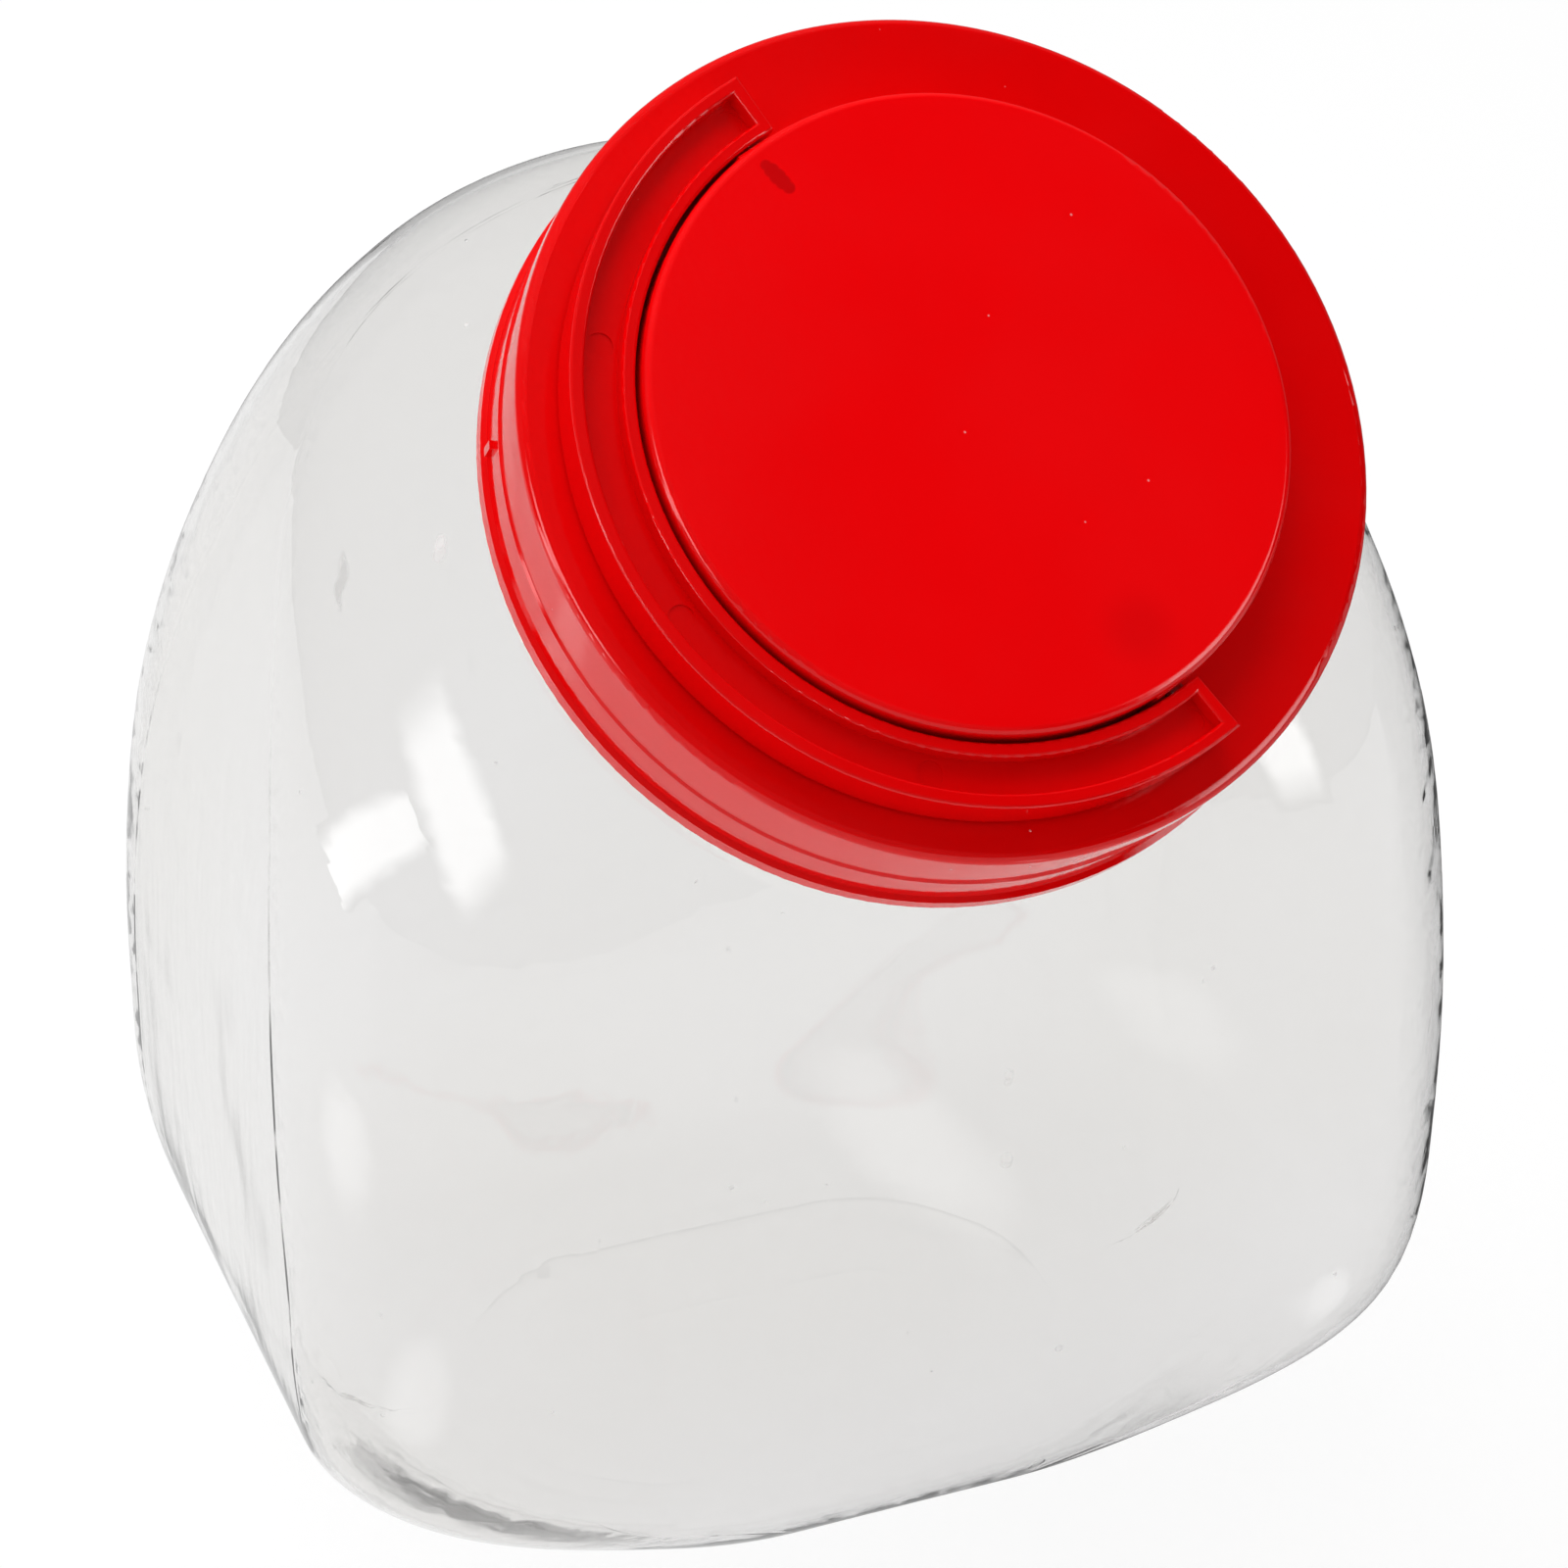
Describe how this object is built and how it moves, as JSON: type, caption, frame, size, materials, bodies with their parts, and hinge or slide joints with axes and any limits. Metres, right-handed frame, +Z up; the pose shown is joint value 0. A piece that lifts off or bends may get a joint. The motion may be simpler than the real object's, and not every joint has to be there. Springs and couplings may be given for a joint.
{
  "type": "candy jar",
  "caption": "Clear square-shouldered counter jar with a tilted wide mouth, a screw lid and a crescent handle that folds flat round the lid's hub.",
  "frame": {"origin": "on the table under the middle of the whole object's outline", "axes": "+Z up, -Y to the front, where the mouth tilts towards the user, +X to the user's right"},
  "size_m": [0.1852, 0.176, 0.2354],
  "materials": {
    "jar": "clear",
    "lid": "gloss",
    "liner": "matte",
    "handle": "gloss"
  },
  "bodies": {
    "jar": {"jar_body": "jar"},
    "liner": {"lid_liner": "liner"},
    "lid": {"lid": "lid"},
    "handle": {"handle": "handle"}
  },
  "joints": [
    {"name": "lid_lift", "type": "slide", "parent": "jar", "child": "liner", "axis": [0, -0.7071, 0.7071], "range_m": [0, 0.0254]},
    {"name": "lid_turn", "type": "hinge", "parent": "liner", "child": "lid", "pos_m": [0, -0.04452, 0.1936], "axis": [0, -0.7071, 0.7071], "range_deg": [0, 1800]},
    {"name": "handle_fold", "type": "hinge", "parent": "lid", "child": "handle", "pos_m": [0, -0.04706, 0.19615], "axis": [-0.4083, 0.6455, 0.6455], "range_deg": [0, 95]}
  ],
  "couplings": [
    {"joint": "lid_lift", "follows": "lid_turn", "m_per_rad": 0.0008085}
  ]
}
